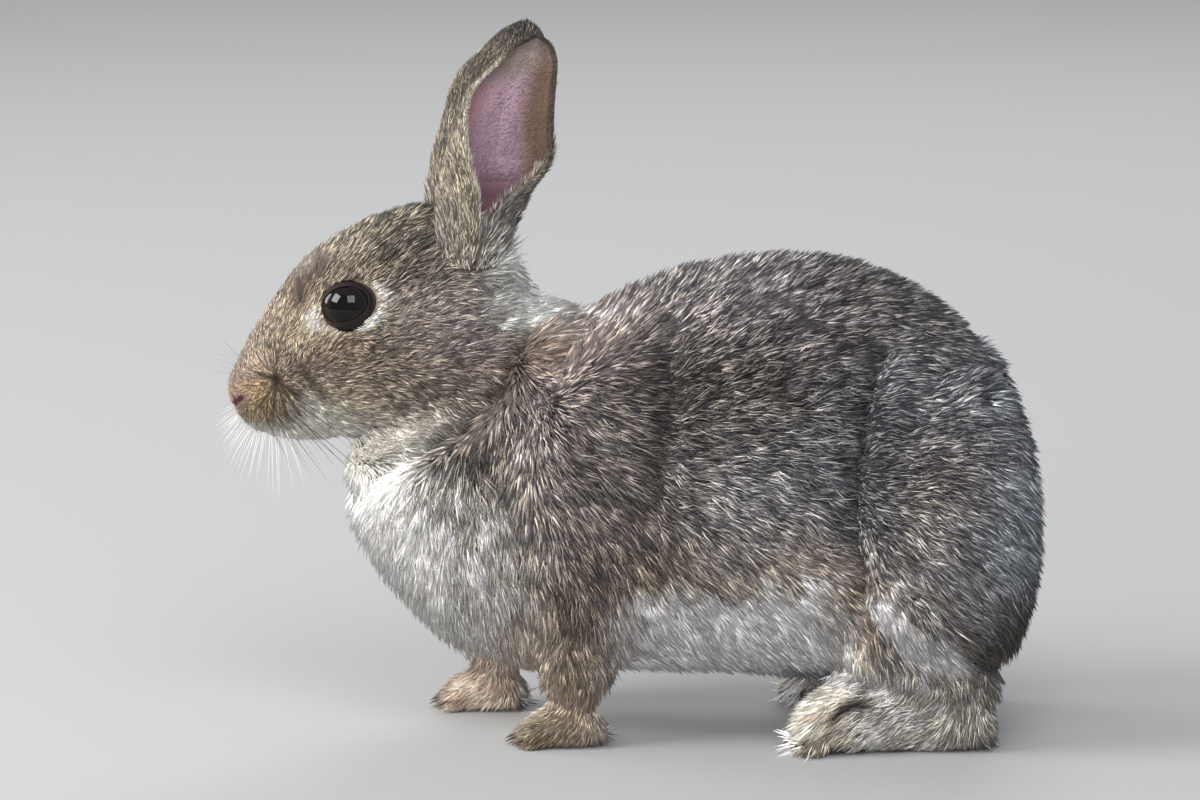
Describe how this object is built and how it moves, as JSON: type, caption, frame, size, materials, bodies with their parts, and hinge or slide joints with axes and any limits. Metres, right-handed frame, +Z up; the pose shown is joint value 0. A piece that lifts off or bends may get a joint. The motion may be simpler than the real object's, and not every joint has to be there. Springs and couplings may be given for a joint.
{
  "type": "rabbit",
  "caption": "Still, life-size model of a young European wild rabbit, crouched on its feet with its head up and its ears erect.",
  "frame": {"origin": "on the floor, under the middle of the rabbit's box", "axes": "+X from the nose to the rump, +Y to the rabbit's right, +Z up"},
  "size_m": [0.2348, 0.1154, 0.2044],
  "materials": {
    "coat_back": "grey-brown ticked fur, matte",
    "coat_face": "short fawn fur, matte",
    "coat_breast": "long cream and grey-beige fur, matte",
    "coat_ear": "very short brown fur outside, bare pink-mauve skin inside",
    "coat_foot": "dense buff fur, matte",
    "coat_tail": "white fur below, grey above, matte",
    "eye": "wet gloss, near black with a dark brown iris",
    "skin": "bare skin and undercoat, matte",
    "claw": "dark horn, satin",
    "whisker": "pale stiff hair"
  },
  "bodies": {
    "root": {"head": "coat_face", "neck": "coat_breast", "trunk": "coat_back", "tail": "coat_tail", "eye_left": "eye", "eye_right": "eye", "ear_left": "coat_ear", "ear_right": "coat_ear", "thigh_left": "coat_back", "thigh_right": "coat_back", "shank_left": "coat_foot", "shank_right": "coat_foot", "hindfoot_left": "coat_foot", "hindfoot_right": "coat_foot", "shoulder_left": "coat_back", "shoulder_right": "coat_back", "foreleg_left": "coat_foot", "foreleg_right": "coat_foot", "forepaw_left": "coat_foot", "forepaw_right": "coat_foot"}
  },
  "joints": []
}
